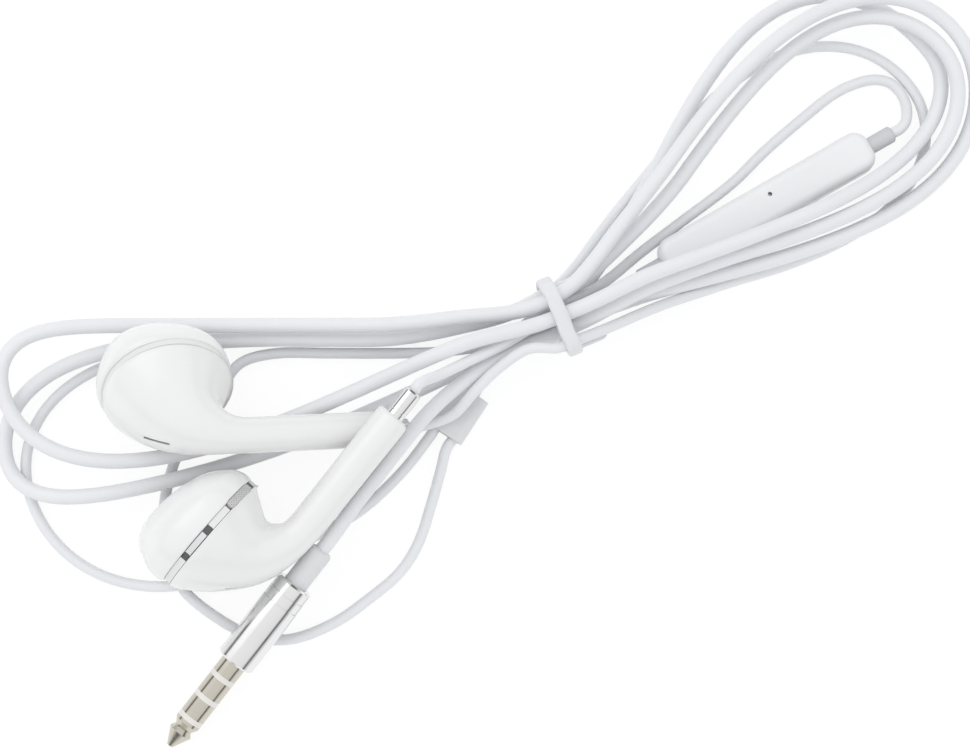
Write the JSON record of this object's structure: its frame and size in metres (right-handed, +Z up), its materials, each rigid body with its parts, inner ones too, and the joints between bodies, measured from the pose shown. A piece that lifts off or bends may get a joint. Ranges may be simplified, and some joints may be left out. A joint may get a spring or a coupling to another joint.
{
  "type": "wired earphones",
  "caption": "Wired stem earphones with an in-line remote and a splitter; the cord is wound in a figure-of-eight hank, tied at its waist, and ends in a 3.5 mm plug.",
  "frame": {"origin": "under the middle of the pair of earbuds, on the surface that they rest on", "axes": "+Z up from the surface; +X to the right along the hank's length, from the earbuds to its waist; +Y away from the viewer, from the plug to the hank"},
  "size_m": [0.1311, 0.1012, 0.0176],
  "materials": {
    "shell_white": "glossy, warm white",
    "seam_grey": "satin, light grey",
    "dark_mesh": "fine dark mesh",
    "bright_trim": "bright, polished",
    "inner_grey": "matt grey, inside",
    "steel_inner": "plain steel, inside",
    "magnet_dark": "dull dark coating, inside",
    "copper_wire": "lacquered copper, inside",
    "bright_metal": "bright, polished",
    "cord_white": "satin, cool white",
    "remote_white": "satin gloss, cool white",
    "board_green": "solder mask, inside",
    "relief_grey": "matt mid grey",
    "moulded_white": "satin white",
    "inner_white": "moulding, inside",
    "contact_metal": "plated, faint champagne",
    "band_white": "white rings between the contacts",
    "tie_white": "soft coating, off-white",
    "tie_wire_steel": "bare wire end"
  },
  "bodies": {
    "earphones": {"left_rear_shell": "shell_white", "left_front_shell": "shell_white", "left_seam_ring": "seam_grey", "left_side_mesh": "dark_mesh", "left_trim": "bright_trim", "left_outlet_grille": "dark_mesh", "left_rear_vent": "dark_mesh", "left_driver_frame": "inner_grey", "left_yoke": "steel_inner", "left_magnet": "magnet_dark", "left_top_plate": "steel_inner", "left_voice_coil": "copper_wire", "left_diaphragm": "inner_grey", "left_ferrule": "bright_metal", "right_rear_shell": "shell_white", "right_front_shell": "shell_white", "right_seam_ring": "seam_grey", "right_side_mesh": "dark_mesh", "right_trim": "bright_trim", "right_outlet_grille": "dark_mesh", "right_rear_vent": "dark_mesh", "right_driver_frame": "inner_grey", "right_yoke": "steel_inner", "right_magnet": "magnet_dark", "right_top_plate": "steel_inner", "right_voice_coil": "copper_wire", "right_diaphragm": "inner_grey", "right_ferrule": "bright_metal", "remote_top_shell": "remote_white", "remote_bottom_shell": "remote_white", "remote_board": "board_green", "remote_domes": "steel_inner", "remote_microphone": "steel_inner", "remote_relief_near": "relief_grey", "remote_relief_far": "relief_grey", "splitter_body": "moulded_white", "splitter_neck": "moulded_white", "plug_relief": "moulded_white", "plug_barrel": "bright_metal", "plug_collar": "bright_metal", "plug_core": "inner_white", "plug_sleeve": "contact_metal", "plug_ring_2": "contact_metal", "plug_ring_1": "contact_metal", "plug_tip": "contact_metal", "plug_bands": "band_white", "tie_coat": "tie_white", "tie_wire": "tie_wire_steel", "main_cord_hank": "cord_white", "plug_lead": "cord_white", "splitter_lead": "cord_white", "ear_cord_loops": "cord_white", "far_cord": "cord_white", "left_lead": "cord_white", "right_lead": "cord_white"},
    "button_up": {"button_up": "remote_white"},
    "button_middle": {"button_middle": "remote_white"},
    "button_down": {"button_down": "remote_white"}
  },
  "joints": [
    {"name": "button_up_press", "type": "slide", "parent": "earphones", "child": "button_up", "axis": [0, 0, 1], "range_m": [0, 0.00025], "stiffness_N_per_m": 2000},
    {"name": "button_middle_press", "type": "slide", "parent": "earphones", "child": "button_middle", "axis": [0, 0, 1], "range_m": [0, 0.00025], "stiffness_N_per_m": 2000},
    {"name": "button_down_press", "type": "slide", "parent": "earphones", "child": "button_down", "axis": [0, 0, 1], "range_m": [0, 0.00025], "stiffness_N_per_m": 2000}
  ]
}
